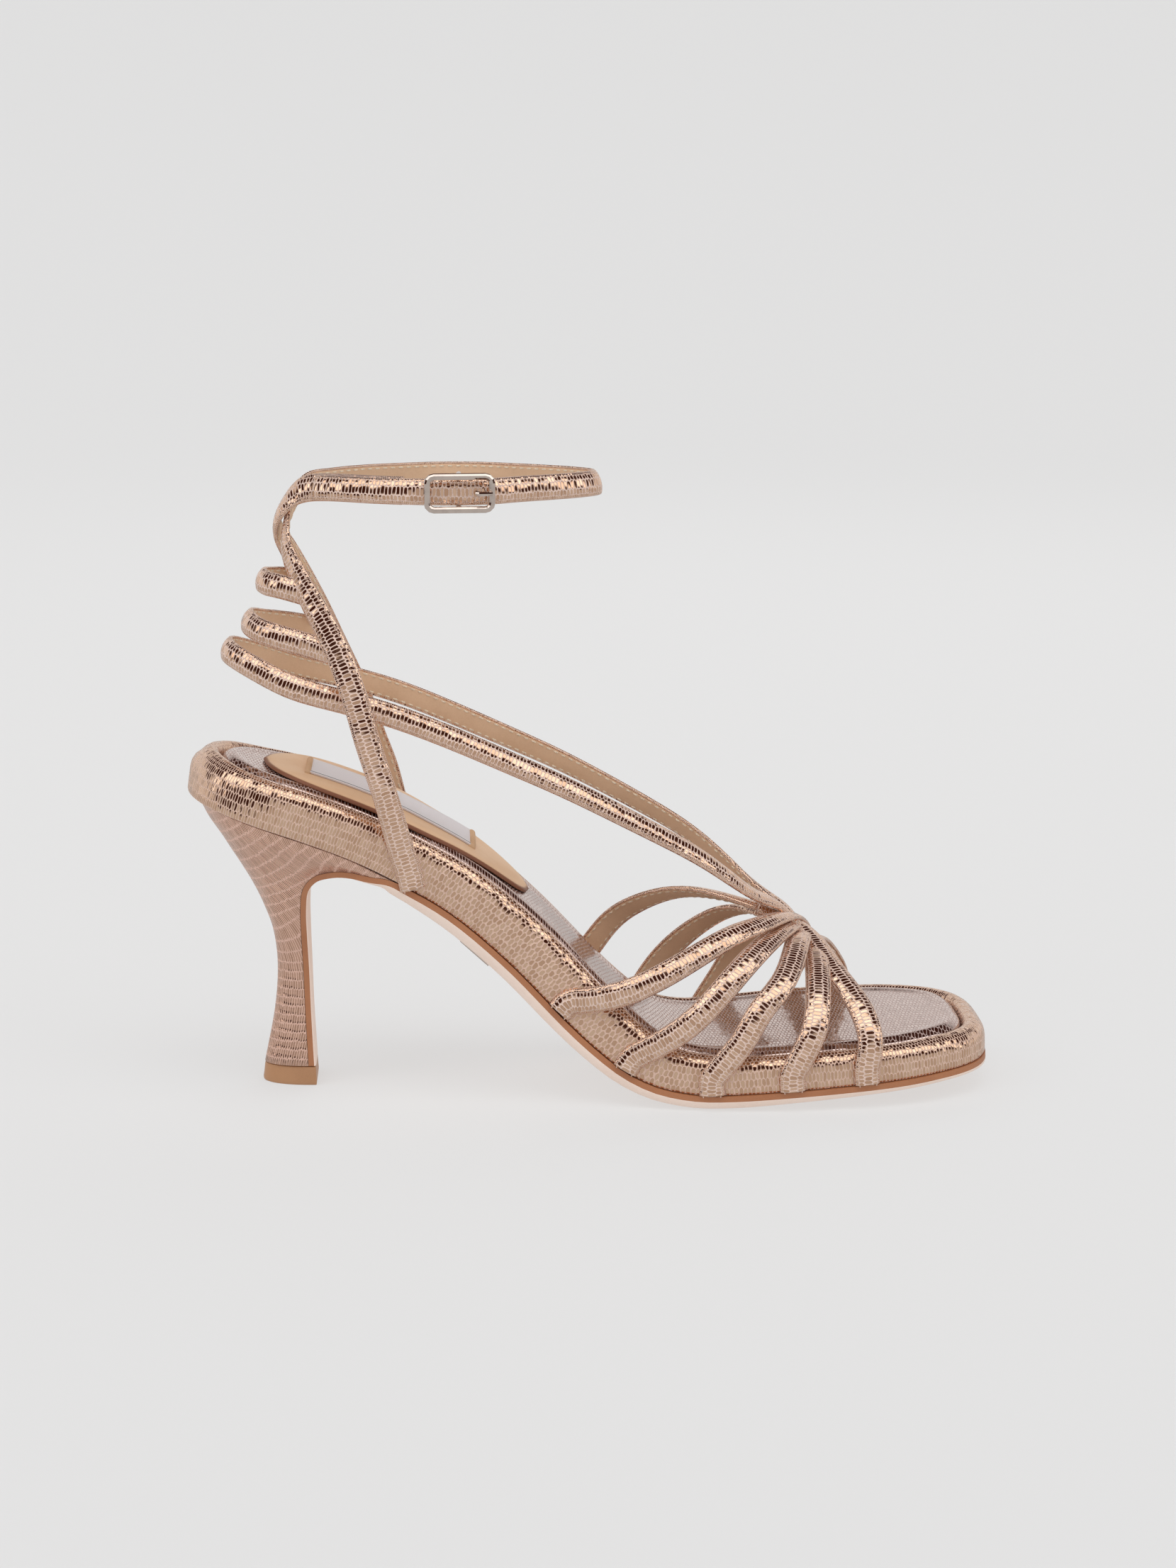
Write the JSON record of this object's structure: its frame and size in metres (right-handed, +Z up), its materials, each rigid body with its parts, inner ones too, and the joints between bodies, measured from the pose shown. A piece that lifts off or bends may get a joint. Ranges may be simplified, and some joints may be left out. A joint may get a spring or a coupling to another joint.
{
  "type": "strappy heeled sandal",
  "caption": "Open-toe sandal on a flared heel, with straps fanning from a knot over the toes, long straps round the heel and a buckled ankle strap.",
  "frame": {"origin": "floor under the middle of the shoe's length and width", "axes": "+X to the toe, -Y to the outer side with the buckle, +Z up"},
  "size_m": [0.2156, 0.0808, 0.1678],
  "materials": {
    "foil_leather": "metallic foil over a lizard emboss",
    "sole_leather": "smooth, with a stained brown edge",
    "sock_leather": "smooth matte",
    "woven_label": "flat woven",
    "top_piece_rubber": "satin",
    "buckle_metal": "polished, warm silver"
  },
  "bodies": {
    "root": {"outsole": "sole_leather", "heel": "foil_leather", "top_piece": "top_piece_rubber", "footbed_wrap": "foil_leather", "insole_pad": "foil_leather", "heel_sock": "sock_leather", "label": "woven_label", "waist_plate": "buckle_metal", "upper": "foil_leather", "buckle_frame": "buckle_metal", "buckle_prong": "buckle_metal"}
  },
  "joints": []
}
